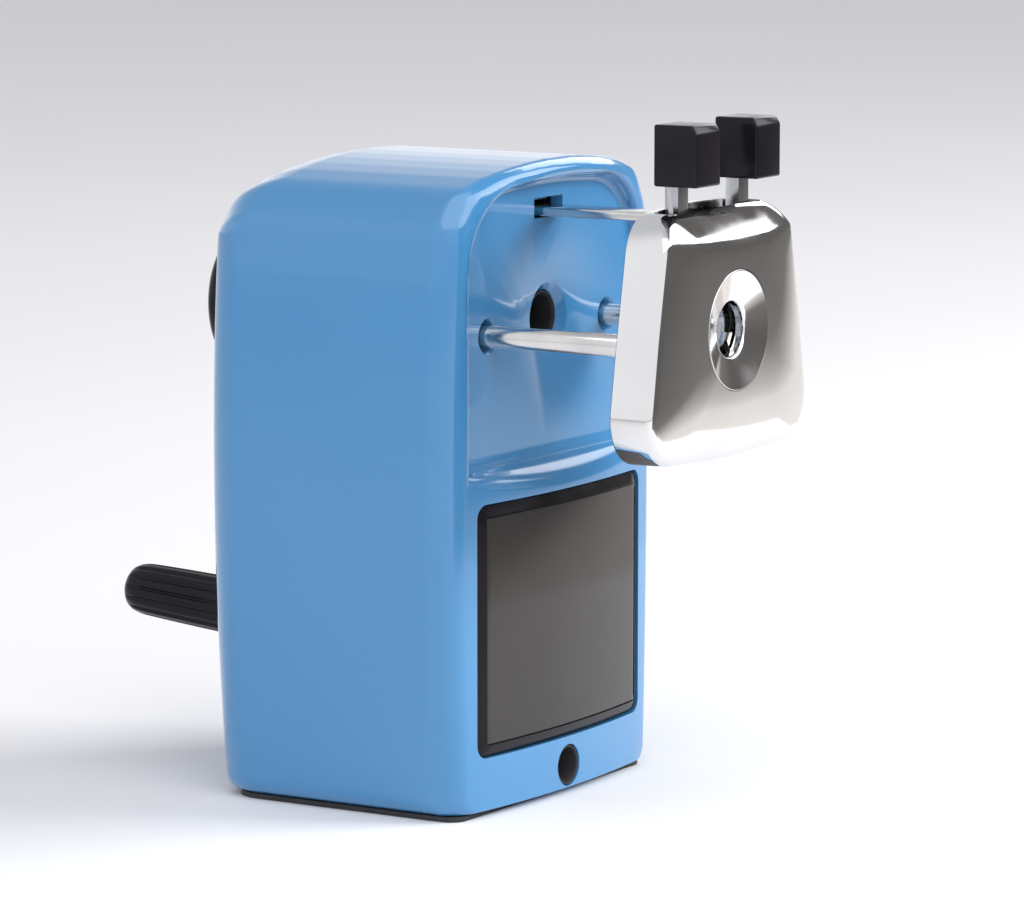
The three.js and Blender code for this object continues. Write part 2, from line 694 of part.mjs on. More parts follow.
// ---------- crank ----------
function cutterCarrier() {
  const onAxis = (manifold) => manifold.translate([0, 0, AXIS_Z]);
  const frontPlate = rodY(14, -13.4, -10.4, 0, 0, 32);
  const rearPlate = rodY(11, 16.6, 19.8, 0, 0, 24);
  const posts = [-1, 1].map((s) => rodY(1.9, -11, 17.5, s * 10.2, 4.2, 20));
  const wings = prismY(rounded([[-12.4, 1, 2], [12.4, 1, 2], [12.4, 7.4, 2], [-12.4, 7.4, 2]]), 16.6, 19.8);
  const shaft = rodY(CRANK.shaft, 19, CRANK.shaftEnd, 0, 0, 28);
  const whole = onAxis(union(frontPlate, rearPlate, wings, ...posts, shaft));
  return cut(
    whole,
    rodY(GUIDE.outer + 0.4, -20, -5, 0, AXIS_Z),
    placedOnCutterAxis(rodY(1.4, 0, 35.4, 0, 0, 12)),
    rodY(1.7, 30.8, 50, 0, AXIS_Z, 16),
  );
}

function knobAxisPoint(distance) {
  const low = AXIS_Z - CRANK.length;
  return [0, KNOB.front + distance * Math.cos(KNOB.tilt), low + distance * Math.sin(KNOB.tilt)];
}

function alongKnob(manifold) {
  return turned(manifold, THREE.MathUtils.radToDeg(KNOB.tilt)).translate(knobAxisPoint(0));
}

function crankArm() {
  const { hubRadius, hubFront, hubRear, length } = CRANK;
  const hub = union(
    rodY(hubRadius, hubFront, hubRear - 1.2, 0, AXIS_Z, 32),
    coneY(hubRadius, hubRadius - 1.2, hubRear - 1.2, hubRear, 0, AXIS_Z, 32),
  );
  const low = AXIS_Z - length;
  const side = [[33, AXIS_Z], [37, low - 6.4], [41.6, low - 6.4], [41.6, low + 4], [38.4, AXIS_Z]];
  const plan = rounded([[-8.4, AXIS_Z, 0], [-6, low - 6.2, 5.8], [6, low - 6.2, 5.8], [8.4, AXIS_Z, 0]], 6);
  const arm = prismX(side, -20, 20).intersect(prismY(plan, 0, 60));
  return cut(
    union(hub, arm),
    rodY(CRANK.shaft + 0.05, 0, CRANK.shaftEnd + 0.1, 0, AXIS_Z, 28),
    rodY(1.7, 30, 50, 0, AXIS_Z, 16),
    rodY(3.6, hubRear - 1.4, 50, 0, AXIS_Z, 24),
    alongKnob(rodY(1.6, -10, 10, 0, 0, 12)),
  );
}

function crankScrew() {
  return roundScrewY(0, AXIS_Z, CRANK.hubRear - 1.4, 1, 31, 1.6, 3.4, 1.8);
}

function thrustWasher() {
  return tubeY(7.5, CRANK.shaft + 0.15, 27.5, 28.2, 0, AXIS_Z);
}

function knobPin() {
  const head = KNOB.length - 7;
  return alongKnob(union(rodY(1.6, -5, head, 0, 0, 12), rodY(2.6, head, head + 1.4, 0, 0, 12)));
}

function crankKnob() {
  const { length, radius } = KNOB;
  const shaft = [[0.4, radius - 1], [1.2, radius], [9, radius - 0.15], [18, radius - 0.35]];
  const end = [[length - 2.6, radius - 0.6], [length - 0.8, radius - 1.6], [length, radius - 3.2]];
  const rows = [...shaft, ...end];
  const rings = rows.map(([y, r], row) =>
    Array.from({ length: 24 }, (_, i) => {
      const groove = i % 2 === 0 && row > 0 && row < 5 ? 0.5 : 0;
      const angle = -(i * 2 * Math.PI) / 24;
      return [(r - groove) * Math.cos(angle), y, (r - groove) * Math.sin(angle)];
    }),
  );
  const bore = union(
    rodY(1.85, -1, length - 5, 0, 0, 12),
    rodY(2.85, length - 7.3, length - 5.3, 0, 0, 12),
  );
  return alongKnob(cut(loft(rings), bore));
}

// ---------- assembly ----------
const group = new THREE.Group();
group.name = 'pencil_sharpener';
const add = (name, colour, manifold) => {
  const mesh = new THREE.Mesh(geometryOf(manifold), material(colour));
  mesh.name = name;
  group.add(mesh);
};
const sides = [['left', -1], ['right', 1]];

add('housing_shell', 'blue', housingShell());
add('rear_cover', 'blue', rearCover());
add('base_plate', 'black', basePlate());
add('base_pad', 'rubber', basePad());
add('mechanism_frame', 'steel', mechanismFrame());
add('ring_gear', 'steel', ringGear());
add('pencil_guide', 'black', pencilGuide());
add('rear_bush', 'brass', rearBush());
add('latch_spring', 'steel', latchSpring());
add('clamp_socket', 'black', clampSocket());
add('drawer_catch', 'steel', drawerCatch());
sides.forEach(([side, s]) => add(`rod_bush_${side}`, 'brass', rodBush(s)));
COVER_SCREWS.forEach(([x, z], i) =>
  add(`rear_cover_screw_${i + 1}`, 'steel', roundScrewY(x, z, COVER.rear, 1, 19.5)));
BASE_SCREWS.forEach(([x, y], i) => add(`base_screw_${i + 1}`, 'steel', baseScrew(x, y)));

add('head_shell', 'chrome', headShell());
add('entry_ring', 'chrome', entryRing());
add('head_back_plate', 'steel', headBackPlate());
add('latch_bar', 'steel', latchBar());
add('lever_pivot_sleeve', 'steel', pivotSleeve());
add('lever_spring', 'steel', leverSpring());
sides.forEach(([side, s], i) => {
  add(`guide_rod_${side}`, 'steel', guideRod(s));
  add(`rod_stop_${side}`, 'steel', rodStop(s));
  add(`head_screw_${side}`, 'steel', headScrew(...HEAD_SCREWS[i]));
});
add('lever_left_plate', 'steel', leverPlate(-1, -59.4, -58.3));
add('lever_right_plate', 'steel', leverPlate(1, -58.1, -57));
sides.forEach(([side, s]) => add(`lever_${side}_cap`, 'black', leverCap(s)));
[0, 1, 2].forEach((i) => add(`jaw_${i + 1}`, 'steel', jaw(i)));

add('cutter_carrier', 'steel', cutterCarrier());
add('cutter_axle', 'steel', cutterAxle());
add('crank_arm', 'black', crankArm());
add('crank_screw', 'steel', crankScrew());
add('knob_pin', 'steel', knobPin());
add('thrust_washer', 'brass', thrustWasher());
add('helical_cutter', 'steel', helicalCutter());
add('pinion_gear', 'steel', pinionGear());
add('crank_knob', 'black', crankKnob());

add('drawer_tray', 'black', drawerTray());
add('drawer_front', 'black', drawerFront());
add('drawer_window', 'smoke', drawerWindow());

export default group;
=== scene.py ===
import json
import math

import bmesh
import bpy
from mathutils import Matrix, Vector


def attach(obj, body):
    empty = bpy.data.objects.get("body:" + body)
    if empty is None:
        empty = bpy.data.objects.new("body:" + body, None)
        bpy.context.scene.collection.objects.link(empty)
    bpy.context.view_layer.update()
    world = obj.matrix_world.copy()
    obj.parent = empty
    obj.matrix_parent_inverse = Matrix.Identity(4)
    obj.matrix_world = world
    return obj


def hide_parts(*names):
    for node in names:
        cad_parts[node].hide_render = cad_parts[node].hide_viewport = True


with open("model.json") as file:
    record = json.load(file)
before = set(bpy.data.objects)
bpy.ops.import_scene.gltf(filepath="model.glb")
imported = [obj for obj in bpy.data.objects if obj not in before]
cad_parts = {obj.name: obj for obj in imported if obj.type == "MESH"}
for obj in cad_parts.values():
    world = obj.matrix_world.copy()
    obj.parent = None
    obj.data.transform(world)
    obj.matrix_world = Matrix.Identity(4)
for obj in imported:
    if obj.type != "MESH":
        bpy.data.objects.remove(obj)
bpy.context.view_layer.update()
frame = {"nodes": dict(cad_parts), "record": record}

SCENE = bpy.context.scene
NODES = frame["nodes"]

# ---------- driving dimensions, mm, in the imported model's axes ----------
MM = 0.001
BODY_BOTTOM, BODY_MID, BODY_TOP = 1.0, 62.0, 118.0
HALF_BASE, HALF_MID, HALF_TOP = 35.0, 37.0, 35.2
FRONT_Y, CORNER_Y, REAR_Y = -30.0, -27.5, 27.5
WALL, REAR_CORNER_WALL = 2.6, 4.4
# The shell's rounded edges: insets at the side, top and bottom, then their setbacks along Y.
REAR_EDGE = ((8.0, 9.0, 0.5), (8.0, 15.0, 8.0))
FRONT_EDGE = ((4.7, 2.4, 0.5), (4.7, 2.6, 4.7))
# Angle at which each rounded edge meets the flat side, degrees.
REAR_CREASE, FRONT_CREASE = 13.0, 17.0
AXIS_Z = 88.5
RECESS_FLOOR_Y, RECESS_HALF, RECESS_TOP = -25.5, 30.0, 114.3
LEDGE_BACK_Z, LEDGE_SLOPE = 64.0, 1.05
DRAWER_HALF, DRAWER_BOTTOM, DRAWER_TOP = 28.4, 11.3, 57.0
CLAMP_Z, CLAMP_RADIUS = 5.6, 3.1
ROD_X, ROD_Z = 21.0, 87.0
LATCH_Z = 108.1
HEAD_FRONT_Y, HEAD_BACK_Y, HEAD_PLATE = -65.5, -55.2, 1.5
HEAD_EDGE, HEAD_BACK_EDGE, HEAD_WALL = 1.5, 0.5, 1.8
FOLD_Z, FOLD_ARCH, FOLD_SLOPE = 104.0, 1.4, 0.5
ENTRY_RADIUS = 10.9
LEVER_X = 11.0
CRANK_LENGTH, KNOB_FRONT, KNOB_LENGTH = 60.0, 42.2, 26.2
KNOB_TILT = math.radians(4.5)
BASE_SCREWS = [(-29.5, -18.5), (29.5, -18.5), (-29.5, 17.0), (29.5, 17.0)]
COVER_SCREWS = [(-23.0, 49.5), (23.0, 49.5), (-23.0, 99.0), (23.0, 99.0)]


# ---------- mesh helpers ----------
def new_object(name, verts, faces):
    mesh = bpy.data.meshes.new(name)
    mesh.from_pydata([(x * MM, y * MM, z * MM) for x, y, z in verts], [], faces)
    obj = bpy.data.objects.new(name, mesh)
    SCENE.collection.objects.link(obj)
    work = bmesh.new()
    work.from_mesh(mesh)
    bmesh.ops.remove_doubles(work, verts=work.verts, dist=1e-7)
    bmesh.ops.recalc_face_normals(work, faces=work.faces)
    work.to_mesh(mesh)
    work.free()
    return obj


def loft(name, rings, closed=False):
    """Joins rings of equal length with quads. An open loft is capped at both ends."""
    count = len(rings[0])
    verts = [point for ring in rings for point in ring]
    faces = []
    joins = len(rings) if closed else len(rings) - 1
    for r in range(joins):
        a = r * count
        b = ((r + 1) % len(rings)) * count
        for i in range(count):
            j = (i + 1) % count
            faces.append((a + i, a + j, b + j, b + i))
    if not closed:
        faces.append(tuple(range(count))[::-1])
        faces.append(tuple(range((len(rings) - 1) * count, len(rings) * count)))
    return new_object(name, verts, faces)


def lathe(name, profile, x=0.0, z=0.0, segments=64, closed=True):
    """Turns (y, radius) points about the line through (x, z) along Y."""
    rings = []
    for y, radius in profile:
        ring = []
        for i in range(segments):
            angle = 2 * math.pi * i / segments
            ring.append((x + radius * math.cos(angle), y, z + radius * math.sin(angle)))
        rings.append(ring)
    return loft(name, rings, closed=closed)


def rod(name, radius, y0, y1, x=0.0, z=0.0, segments=48):
    return lathe(name, [(y0, radius), (y1, radius)], x, z, segments, closed=False)


def prism(name, outline, low, high, axis):
    """Extrudes an outline from low to high along axis; its two coordinates are the other axes in order."""
    def place(a, b, c):
        return {"X": (c, a, b), "Y": (a, c, b), "Z": (a, b, c)}[axis]

    rings = [[place(a, b, level) for a, b in outline] for level in (low, high)]
    return loft(name, rings)


def box(name, x0, x1, y0, y1, z0, z1):
    return prism(name, [(x0, y0), (x1, y0), (x1, y1), (x0, y1)], z0, z1, "Z")


def circle(a, b, radius, count):
    turns = [2 * math.pi * k / count for k in range(count)]
    return [(a + radius * math.cos(turn), b + radius * math.sin(turn)) for turn in turns]


def rounded(corners, steps=8):
    """Outline through (a, b, radius) corners, each rounded by an arc."""
    points = []
    for i, (a, b, radius) in enumerate(corners):
        corner = Vector((a, b))
        if radius <= 0:
            points.append((a, b))
            continue
        before = Vector(corners[i - 1][:2]) - corner
        after = Vector(corners[(i + 1) % len(corners)][:2]) - corner
        before.normalize()
        after.normalize()
        half = math.acos(max(-1.0, min(1.0, before.dot(after)))) / 2
        centre = corner + (before + after).normalized() * (radius / math.sin(half))
        start = corner + before * (radius / math.tan(half)) - centre
        end = corner + after * (radius / math.tan(half)) - centre
        first = math.atan2(start.y, start.x)
        sweep = math.atan2(start.x * end.y - start.y * end.x, start.dot(end))
        for k in range(steps + 1):
            angle = first + sweep * k / steps
            points.append((centre.x + radius * math.cos(angle), centre.y + radius * math.sin(angle)))
    return points


def resample(points, count):
    """Count + 1 points evenly spaced along an open line."""
    lengths = [0.0]
    for a, b in zip(points, points[1:]):
        lengths.append(lengths[-1] + math.dist(a, b))
    found = []
    k = 0
    for i in range(count + 1):
        want = lengths[-1] * i / count
        while k < len(lengths) - 2 and lengths[k + 1] < want:
            k += 1
        span = max(lengths[k + 1] - lengths[k], 1e-9)
        share = min(max((want - lengths[k]) / span, 0.0), 1.0)
        a, b = points[k], points[k + 1]
        found.append(tuple(a[n] + (b[n] - a[n]) * share for n in range(2)))
    return found


def bake_modifiers(obj):
    bpy.context.view_layer.update()
    graph = bpy.context.evaluated_depsgraph_get()
    mesh = bpy.data.meshes.new_from_object(obj.evaluated_get(graph))
    old = obj.data
    obj.modifiers.clear()
    obj.data = mesh
    bpy.data.meshes.remove(old)


def combine(obj, operation, *tools):
    """Cuts with, or joins to, each tool object, then throws the tool away."""
    for tool in tools:
        modifier = obj.modifiers.new(operation, "BOOLEAN")
        modifier.operation = operation
        modifier.solver = "EXACT"
        modifier.object = tool
    bake_modifiers(obj)
    for tool in tools:
        bpy.data.objects.remove(tool)
    return obj


def cut(obj, *tools):
    return combine(obj, "DIFFERENCE", *tools)


def add_soft_edges(obj, width, segments=3, angle=30.0):
    modifier = obj.modifiers.new("edges", "BEVEL")
    modifier.width = width * MM
    modifier.segments = segments
    modifier.limit_method = "ANGLE"
    modifier.angle_limit = math.radians(angle)
    modifier.use_clamp_overlap = True


def soften(obj, width, segments=3, angle=30.0):
    add_soft_edges(obj, width, segments, angle)
    bake_modifiers(obj)
    return obj


def smooth(obj, sharp=38.0):
    obj.data.shade_smooth()
    obj.data.set_sharp_from_angle(angle=math.radians(sharp))
    return obj


def piece(obj, body, nodes, material, sharp=38.0):
    """Gives a finished shape its material, hangs it on its body and hides the frame's nodes that it
    replaces.
    """
    smooth(obj, sharp)
    obj.data.materials.clear()
    obj.data.materials.append(material)
    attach(obj, body)
    if nodes:
        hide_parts(*nodes)
    return obj


# ---------- materials ----------
class Shader:
    """A Principled material with helpers for object-space noise."""

    def __init__(self, name, colour, metallic=0.0, roughness=0.3, **sockets):
        self.material = bpy.data.materials.new(name)
        self.material.use_nodes = True
        self.tree = self.material.node_tree
        self.main = self.tree.nodes["Principled BSDF"]
        self.main.inputs["Base Color"].default_value = (*colour, 1.0)
        self.main.inputs["Metallic"].default_value = metallic
        self.main.inputs["Roughness"].default_value = roughness
        for socket, value in sockets.items():
            self.main.inputs[socket.replace("_", " ")].default_value = value
        self.colour = colour
        self.coords = self.tree.nodes.new("ShaderNodeTexCoord")

    def node(self, kind, **settings):
        made = self.tree.nodes.new(kind)
        for key, value in settings.items():
            setattr(made, key, value)
        return made

    def link(self, source, target):
        self.tree.links.new(source, target)

    def noise(self, size_mm, detail=3.0, stretch=(1.0, 1.0, 1.0), roughness=0.5):
        mapping = self.node("ShaderNodeMapping")
        mapping.inputs["Scale"].default_value = tuple(s / (size_mm * MM) for s in stretch)
        self.link(self.coords.outputs["Object"], mapping.inputs["Vector"])
        texture = self.node("ShaderNodeTexNoise")
        texture.inputs["Scale"].default_value = 1.0
        texture.inputs["Detail"].default_value = detail
        texture.inputs["Roughness"].default_value = roughness
        self.link(mapping.outputs["Vector"], texture.inputs["Vector"])
        return texture.outputs["Fac"]

    def ranged(self, source, low, high, start=0.3, end=0.7):
        ranged = self.node("ShaderNodeMapRange")
        ranged.inputs["From Min"].default_value = start
        ranged.inputs["From Max"].default_value = end
        ranged.inputs["To Min"].default_value = low
        ranged.inputs["To Max"].default_value = high
        self.link(source, ranged.inputs["Value"])
        return ranged.outputs["Result"]

    def vary_roughness(self, source, low, high):
        self.link(self.ranged(source, low, high), self.main.inputs["Roughness"])

    def vary_colour(self, source, other, start=0.35, end=0.75):
        mix = self.node("ShaderNodeMix", data_type="RGBA")
        mix.inputs["A"].default_value = (*self.colour, 1.0)
        mix.inputs["B"].default_value = (*other, 1.0)
        self.link(self.ranged(source, 0.0, 1.0, start, end), mix.inputs["Factor"])
        self.link(mix.outputs["Result"], self.main.inputs["Base Color"])

    def bump(self, source, height_mm, strength=1.0):
        bump = self.node("ShaderNodeBump")
        bump.inputs["Strength"].default_value = strength
        bump.inputs["Distance"].default_value = height_mm * MM
        self.link(source, bump.inputs["Height"])
        self.link(bump.outputs["Normal"], self.main.inputs["Normal"])


def glossy_paint():
    shader = Shader("blue_gloss", (0.055, 0.24, 0.49), roughness=0.12, Coat_Weight=0.6, Coat_Roughness=0.03)
    shader.main.inputs["IOR"].default_value = 1.5
    shader.vary_colour(shader.noise(60.0, 2.0), (0.061, 0.252, 0.51))
    shader.vary_roughness(shader.noise(9.0, 4.0), 0.1, 0.16)
    shader.bump(shader.noise(2.4, 2.0), 0.006, 0.35)
    return shader.material


def black_plastic(name, colour, low, high, grain_mm, height_mm):
    shader = Shader(name, colour, roughness=low, Specular_IOR_Level=0.2)
    shader.vary_colour(shader.noise(14.0, 3.0), tuple(c * 1.5 for c in colour))
    shader.vary_roughness(shader.noise(5.0, 4.0), low, high)
    shader.bump(shader.noise(grain_mm, 2.0), height_mm, 0.5)
    return shader.material


def smoked_plastic():
    shader = Shader("smoked_gloss", (0.036, 0.032, 0.031), roughness=0.1, Specular_IOR_Level=0.35)
    shader.vary_colour(shader.noise(30.0, 2.0), (0.044, 0.04, 0.038))
    shader.vary_roughness(shader.noise(12.0, 4.0), 0.1, 0.18)
    shader.bump(shader.noise(4.0, 2.0), 0.004, 0.3)
    return shader.material


def chrome():
    shader = Shader("chrome_plate", (0.83, 0.825, 0.82), metallic=1.0, roughness=0.05)
    shader.vary_roughness(shader.noise(7.0, 5.0), 0.035, 0.1)
    shader.vary_colour(shader.noise(18.0, 3.0), (0.78, 0.775, 0.775))
    shader.bump(shader.noise(5.0, 1.0), 0.004, 0.25)
    return shader.material


def brushed_steel(name, axis, colour=(0.56, 0.565, 0.58), low=0.2, high=0.36):
    stretch = {"X": (0.04, 1.0, 1.0), "Y": (1.0, 0.04, 1.0), "Z": (1.0, 1.0, 0.04)}[axis]
    shader = Shader(name, colour, metallic=1.0, roughness=low)
    lines = shader.noise(0.35, 3.0, stretch)
    shader.vary_roughness(lines, low, high)
    shader.vary_colour(shader.noise(6.0, 4.0), tuple(c * 0.82 for c in colour))
    shader.bump(lines, 0.004, 0.5)
    return shader.material


def bare_rubber():
    shader = Shader("pad_rubber", (0.022, 0.022, 0.024), roughness=0.75)
    shader.vary_colour(shader.noise(8.0, 4.0), (0.035, 0.035, 0.038))
    shader.vary_roughness(shader.noise(3.0, 4.0), 0.65, 0.85)
    shader.bump(shader.noise(0.6, 3.0), 0.03, 0.7)
    return shader.material


BLUE = glossy_paint()
BLACK = black_plastic("black_gloss", (0.007, 0.006, 0.008), 0.14, 0.24, 1.2, 0.006)
BLACK_MATTE = black_plastic("black_matte", (0.02, 0.02, 0.022), 0.45, 0.6, 0.5, 0.02)
SMOKED = smoked_plastic()
CHROME = chrome()
STEEL_Y = brushed_steel("steel_drawn", "Y", (0.72, 0.71, 0.70), 0.1, 0.2)
STEEL = brushed_steel("steel_brushed", "X")
STEEL_PLATE = brushed_steel("steel_plate", "Z", (0.60, 0.61, 0.63), 0.14, 0.26)
BRASS = brushed_steel("brass_turned", "Y", (0.62, 0.45, 0.2), 0.2, 0.34)
RUBBER = bare_rubber()
SLOT_MATERIALS = {
    "paint_blue": BLUE,
    "black_gloss": BLACK,
    "black_matte": BLACK_MATTE,
    "smoked": SMOKED,
    "pad": RUBBER,
    "chrome": CHROME,
    "steel": STEEL,
    "brass": BRASS,
}


# ---------- housing shell ----------
def body_half(z):
    if z < BODY_MID:
        return HALF_MID - (HALF_MID - HALF_BASE) * ((z - BODY_MID) / BODY_MID) ** 2
    return HALF_MID - (HALF_MID - HALF_TOP) * ((z - BODY_MID) / 46.0) ** 2


def body_rear(z):
    if z < BODY_MID:
        return REAR_Y - 1.4 * ((BODY_MID - z) / 61.0) ** 2
    return REAR_Y - 0.3 * ((z - BODY_MID) / 45.0) ** 2


def bowed_front(x, proud=0.0):
    return FRONT_Y - proud + (CORNER_Y - FRONT_Y) * (x / 32.0) ** 2


BOTTOM_STEPS, SIDE_STEPS, TOP_STEPS = 64, 110, 84


def split_outline(points, low_z, shoulder_z):
    """Splits a left-right symmetric outline at its four corners and spaces each stretch evenly."""
    bottom = min(range(len(points)), key=lambda i: math.dist(points[i], (-1e3, low_z - 1e3)))
    points = points[bottom:] + points[:bottom]
    low_right = min(range(len(points)), key=lambda i: math.dist(points[i], (1e3, low_z - 1e3)))
    high_right = min(range(len(points)), key=lambda i: math.dist(points[i], (1e3, shoulder_z + 1e3)))
    high_left = min(range(len(points)), key=lambda i: math.dist(points[i], (-1e3, shoulder_z + 1e3)))
    stretches = [
        (points[: low_right + 1], BOTTOM_STEPS),
        (points[low_right : high_right + 1], SIDE_STEPS),
        (points[high_right : high_left + 1], TOP_STEPS),
        (points[high_left:] + points[:1], SIDE_STEPS),
    ]
    ring = []
    for stretch, steps in stretches:
        ring += resample(stretch, steps)[:-1]
    return ring


def mirrored_outline(right):
    """Right half, bottom to top, and its mirror image, as one closed outline."""
    return right + [(-x, z, r) for x, z, r in reversed(right)]


def body_outline():
    right = [(body_half(BODY_BOTTOM), BODY_BOTTOM, 3.0)]
    right += [(body_half(z), z, 0.0) for z in range(8, 104, 6)]
    right += [(35.3, 107.6, 5.0), (30.6, 113.9, 7.0)]
    right += [(x, BODY_TOP - 3.6 * (x / 30.0) ** 2, 0.0) for x in (24.0, 19.0, 14.0, 9.0, 4.0)]
    corners = mirrored_outline(right)
    return split_outline(rounded(corners, 8), BODY_BOTTOM, 111.0)


def recess_outline(grow, y_at):
    """Outline of the recess grown outwards; its bottom edge lies on the sloped ledge at depth y_at(x)."""
    half = RECESS_HALF + grow
    low = 60.0
    top = RECESS_TOP + grow
    right = [(half, low, 0.0), (half, top - 1.4, 15.5 + grow), (0.0, top + 0.4, 150.0)]
    corners = right + [(-half, top - 1.4, 15.5 + grow), (-half, low, 0.0)]
    ring = split_outline(rounded(corners, 14), low, 108.0)
    moved = []
    for x, z in ring:
        edge = LEDGE_BACK_Z - LEDGE_SLOPE * (RECESS_FLOOR_Y - y_at(x)) - grow * 0.8
        share = max(0.0, (top - z) / (top - low))
        moved.append((x, z + (edge - low) * share**3))
    return moved


def edge_profile(steps, crease):
    """(inset, setback) shares of a rounded edge that meets the flat side at a slight crease angle."""
    start = math.radians(crease)
    shares = []
    for k in range(steps + 1):
        angle = start + (math.pi / 2 - start) * k / steps
        inset = (math.cos(start) - math.cos(angle)) / math.cos(start)
        shares.append((inset, (1 - math.sin(angle)) / (1 - math.sin(start))))
    return shares


def shell_rings():
    outline = body_outline()
    count = len(outline)
    weights = []
    for i in range(count):
        a, b = outline[i - 1], outline[(i + 1) % count]
        tangent = Vector((b[0] - a[0], b[1] - a[1])).normalized()
        side, up = abs(tangent.y), -tangent.x
        weights.append((side**2, max(up, 0.0) ** 2, max(-up, 0.0) ** 2))

    def shrunk(inset_side, inset_top, inset_low):
        ring = []
        for x, z in outline:
            nx = x * (1 - inset_side / HALF_MID)
            if z > BODY_MID:
                nz = BODY_MID + (z - BODY_MID) * (1 - inset_top / (BODY_TOP - BODY_MID))
            else:
                nz = BODY_MID + (z - BODY_MID) * (1 - inset_low / (BODY_MID - BODY_BOTTOM))
            ring.append((nx, nz))
        return ring

    def edge_ring(edge, reach, lift, toward, face_y):
        insets, setbacks = edge
        ring = []
        for (x, z), weight in zip(shrunk(*(inset * reach for inset in insets)), weights):
            setback = sum(w * v for w, v in zip(weight, setbacks))
            ring.append((x, face_y(x, z) + toward * setback * lift, z))
        return ring

    rings = []
    for reach, lift in reversed(edge_profile(12, REAR_CREASE)):
        rings.append(edge_ring(REAR_EDGE, reach, lift, -1, lambda x, z: body_rear(z)))
    rear_edge = rings[-1]
    front = []
    for reach, lift in edge_profile(10, FRONT_CREASE):
        front.append(edge_ring(FRONT_EDGE, reach, lift, 1, lambda x, z: bowed_front(x)))
    for share in (0.008, 0.02, 0.14, 0.26, 0.38, 0.5, 0.62, 0.74, 0.86, 0.98, 0.992):
        rings.append(
            [tuple(a[n] + (b[n] - a[n]) * share for n in range(3)) for a, b in zip(rear_edge, front[0])]
        )
    rings += front
    return rings


def shell_front_rings(last):
    """From the front face's outer edge to the recess floor."""
    rim = 1.5
    start = recess_outline(rim, bowed_front)
    rings = []
    for share in (0.25, 0.5, 0.75, 0.92):
        ring = []
        for (x0, _, z0), (x1, z1) in zip(last, start):
            x, z = x0 + (x1 - x0) * share, z0 + (z1 - z0) * share
            ring.append((x, bowed_front(x), z))
        rings.append(ring)
    steps = 8
    for k in range(steps + 1):
        angle = math.pi / 2 * k / steps
        grow = rim * (1 - math.sin(angle))
        drop = rim * (1 - math.cos(angle))
        ring = recess_outline(grow, lambda x: bowed_front(x) + drop)
        rings.append([(x, bowed_front(x) + drop, z) for x, z in ring])
    edge = rings[-1]
    for share in (0.25, 0.5, 0.75):
        floor = RECESS_FLOOR_Y - 1.2
        ring = recess_outline(-0.3 * share, lambda x: bowed_front(x) + rim)
        wall = []
        for (x, z), (_, y, _) in zip(ring, edge):
            depth = y + (floor - y) * share
            ledge = LEDGE_BACK_Z - LEDGE_SLOPE * (RECESS_FLOOR_Y - depth)
            wall.append((x, depth, max(z, ledge)))
        rings.append(wall)
    for k in range(steps + 1):
        angle = math.pi / 2 * k / steps
        grow = -0.3 - 1.2 * (1 - math.cos(angle))
        depth = RECESS_FLOOR_Y - 1.2 * (1 - math.sin(angle))
        ring = recess_outline(grow, lambda x: depth)
        rings.append([(x, depth, z) for x, z in ring])
    rings.append([(x * 0.985, y, AXIS_Z + (z - AXIS_Z) * 0.985) for x, y, z in rings[-1]])
    return rings


def cavity():
    """The space inside the shell, open at the bottom."""
    rings = []
    for y, drop, wall in ((-23.0, 0.0, WALL), (8.0, 0.0, WALL), (23.6, 7.5, REAR_CORNER_WALL)):
        ring = []
        for x, z in body_outline():
            nz = z
            if z > BODY_MID:
                nz = BODY_MID + (z - BODY_MID) * (1 - (WALL + drop) / (BODY_TOP - BODY_MID))
            elif z < 9:
                nz = z - 8
            ring.append((x * (1 - wall / HALF_MID), y, nz))
        rings.append(ring)
    return loft("cavity", rings)


def rectangle(half, low, high, radius, steps=8):
    corners = [(-half, low, radius), (half, low, radius), (half, high, radius), (-half, high, radius)]
    return rounded(corners, steps)


def build_shell():
    rings = shell_rings()
    rings += shell_front_rings(rings[-1])
    shell = loft("body_shell", rings)
    gap = 0.3
    opening = rectangle(DRAWER_HALF + gap, DRAWER_BOTTOM - gap, DRAWER_TOP + gap, 2.6)
    guide_mouth = [(-40, 7.0), (-25.6, 7.0), (-25.45, 6.5), (-25.2, 6.25)]
    guide_mouth += [(-24.1, 5.1), (-23.9, 4.95), (-20, 4.95)]
    tools = [
        cavity(),
        prism("opening", opening, -40, -22, "Y"),
        prism("rebate", rectangle(27.2, 43.8, 105.2, 2.2), 25.6, 40, "Y"),
        prism("rear_window", rectangle(19, 55, 103, 3), 20, 40, "Y"),
        rod("clamp", 3.9, -40, -20, 0, CLAMP_Z, 48),
        lathe("guide_hole", guide_mouth, 0, AXIS_Z, 96, False),
        box("latch_hole", -5, 5, -40, -20, LATCH_Z - 1.2, LATCH_Z + 2.5),
    ]
    for side in (-1, 1):
        profile = [(-40, 3.6), (-25.6, 3.6), (-25.5, 3.3), (-25.2, 3.0), (-24.8, 2.8), (-20, 2.8)]
        tools.append(lathe("rod_hole", profile, side * ROD_X, ROD_Z, 48, False))
    for x, z in COVER_SCREWS:
        tools.append(rod("cover_hole", 1.45, 20, 40, x, z, 24))
    cut(shell, *tools)
    piece(shell, "housing", ["housing_shell"], BLUE, 30.0)


